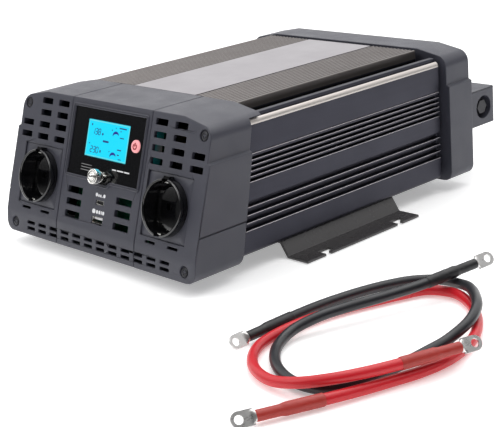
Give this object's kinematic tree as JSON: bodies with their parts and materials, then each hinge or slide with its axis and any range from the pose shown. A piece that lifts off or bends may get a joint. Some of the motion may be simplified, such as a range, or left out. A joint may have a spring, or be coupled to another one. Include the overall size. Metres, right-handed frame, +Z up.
{
  "type": "power inverter",
  "caption": "Battery power inverter: finned aluminium body between plastic end caps, round mains sockets, lit display, side brackets and loose battery leads.",
  "frame": {"origin": "on the floor, under the middle of the inverter without its loose leads", "axes": "+X to the right seen from the front, +Y from the front panel to the battery terminals, +Z up"},
  "size_m": [0.4926, 0.5163, 0.127],
  "materials": {
    "case_plastic": "fine matte moulded dark grey",
    "anodised_body": "dark anodised extrusion",
    "plain_aluminium": "plain mill finish",
    "satin_plate": "satin silver sheet",
    "gloss_black": "glossy black",
    "lcd": "backlit cyan display",
    "button_glow": "lit push button",
    "bright_metal": "nickel or tin plated",
    "brass": "stamped brass",
    "copper": "bare copper",
    "board": "green circuit board",
    "ferrite": "taped ferrite winding",
    "painted_steel": "black painted steel",
    "black_plastic": "black moulded plastic",
    "black_rubber": "smooth black cable sheath",
    "red_rubber": "smooth red cable sheath"
  },
  "bodies": {
    "root": {"black_lead": "black_rubber", "bracket_left": "painted_steel", "bracket_right": "painted_steel", "bus_bar_left": "copper", "bus_bar_right": "copper", "capacitor_bank": "black_plastic", "contact_left_a": "brass", "contact_left_b": "brass", "contact_right_a": "brass", "contact_right_b": "brass", "cooling_bar_left": "plain_aluminium", "cooling_bar_right": "plain_aluminium", "display_window": "gloss_black", "earth_clip_left_low": "bright_metal", "earth_clip_left_top": "bright_metal", "earth_clip_right_low": "bright_metal", "earth_clip_right_top": "bright_metal", "earth_stud": "bright_metal", "fan_frame_left": "black_plastic", "fan_frame_right": "black_plastic", "filter_choke": "copper", "front_board": "board", "front_cap": "case_plastic", "lcd_module": "lcd", "lower_shell": "anodised_body", "lug_black_far": "bright_metal", "lug_black_near": "bright_metal", "lug_red_far": "bright_metal", "lug_red_near": "bright_metal", "main_board": "board", "power_transistors_left": "black_plastic", "power_transistors_right": "black_plastic", "rear_cap": "case_plastic", "red_lead": "red_rubber", "sleeve_black_far": "black_rubber", "sleeve_black_near": "black_rubber", "sleeve_red_far": "red_rubber", "sleeve_red_near": "red_rubber", "socket_left": "gloss_black", "socket_right": "gloss_black", "terminal_left": "case_plastic", "terminal_right": "case_plastic", "top_plate": "satin_plate", "transformer_left": "ferrite", "transformer_middle": "ferrite", "transformer_right": "ferrite", "upper_shell": "anodised_body", "usb_a_port": "bright_metal", "usb_c_port": "bright_metal"},
    "button": {"power_button": "button_glow"},
    "earth_washer": {"earth_washer": "bright_metal"},
    "earth_nut": {"earth_nut": "bright_metal"},
    "shutter_left": {"shutter_left": "black_plastic"},
    "shutter_right": {"shutter_right": "black_plastic"},
    "fan_rotor_left": {"fan_rotor_left": "black_plastic"},
    "fan_rotor_right": {"fan_rotor_right": "black_plastic"},
    "bolt_washer_left": {"bolt_washer_left": "bright_metal"},
    "bolt_washer_right": {"bolt_washer_right": "bright_metal"},
    "terminal_bolt_left": {"terminal_bolt_left": "bright_metal"},
    "terminal_bolt_right": {"terminal_bolt_right": "bright_metal"}
  },
  "joints": [
    {"name": "button_press", "type": "slide", "parent": "root", "child": "button", "axis": [0, 0.9494, -0.314], "range_m": [0, 0.001], "stiffness_N_per_m": 200, "springref_m": -0.0005},
    {"name": "earth_nut_travel", "type": "slide", "parent": "root", "child": "earth_washer", "axis": [0, -0.9494, 0.314], "range_m": [0, 0.004]},
    {"name": "earth_nut_turn", "type": "hinge", "parent": "earth_washer", "child": "earth_nut", "pos_m": [0.0005, -0.17803, 0.07075], "axis": [0, -0.9494, 0.314], "range_deg": [0, 1800]},
    {"name": "shutter_turn_left", "type": "hinge", "parent": "root", "child": "shutter_left", "pos_m": [-0.0811, -0.18161, 0.05993], "axis": [0, -0.9494, 0.314], "range_deg": [0, 50], "stiffness_Nm_per_rad": 0.004, "springref_deg": -11.46},
    {"name": "fan_spin_left", "type": "hinge", "parent": "root", "child": "fan_rotor_left", "pos_m": [-0.032, 0.1322, 0.064], "axis": [0, 1, 0], "continuous": true},
    {"name": "terminal_travel_left", "type": "slide", "parent": "root", "child": "bolt_washer_left", "axis": [-1, 0, 0], "range_m": [0, 0.004]},
    {"name": "terminal_bolt_turn_left", "type": "hinge", "parent": "bolt_washer_left", "child": "terminal_bolt_left", "pos_m": [-0.1011, 0.17725, 0.063], "axis": [-1, 0, 0], "range_deg": [0, 1152]},
    {"name": "shutter_turn_right", "type": "hinge", "parent": "root", "child": "shutter_right", "pos_m": [0.0811, -0.18161, 0.05993], "axis": [0, -0.9494, 0.314], "range_deg": [0, 50], "stiffness_Nm_per_rad": 0.004, "springref_deg": -11.46},
    {"name": "fan_spin_right", "type": "hinge", "parent": "root", "child": "fan_rotor_right", "pos_m": [0.032, 0.1322, 0.064], "axis": [0, 1, 0], "continuous": true},
    {"name": "terminal_travel_right", "type": "slide", "parent": "root", "child": "bolt_washer_right", "axis": [1, 0, 0], "range_m": [0, 0.004]},
    {"name": "terminal_bolt_turn_right", "type": "hinge", "parent": "bolt_washer_right", "child": "terminal_bolt_right", "pos_m": [0.1011, 0.17725, 0.063], "axis": [1, 0, 0], "range_deg": [0, 1152]}
  ],
  "couplings": [
    {"joint": "earth_nut_travel", "follows": "earth_nut_turn", "m_per_rad": 0.00012732},
    {"joint": "terminal_travel_left", "follows": "terminal_bolt_turn_left", "m_per_rad": 0.00019894},
    {"joint": "terminal_travel_right", "follows": "terminal_bolt_turn_right", "m_per_rad": 0.00019894}
  ]
}
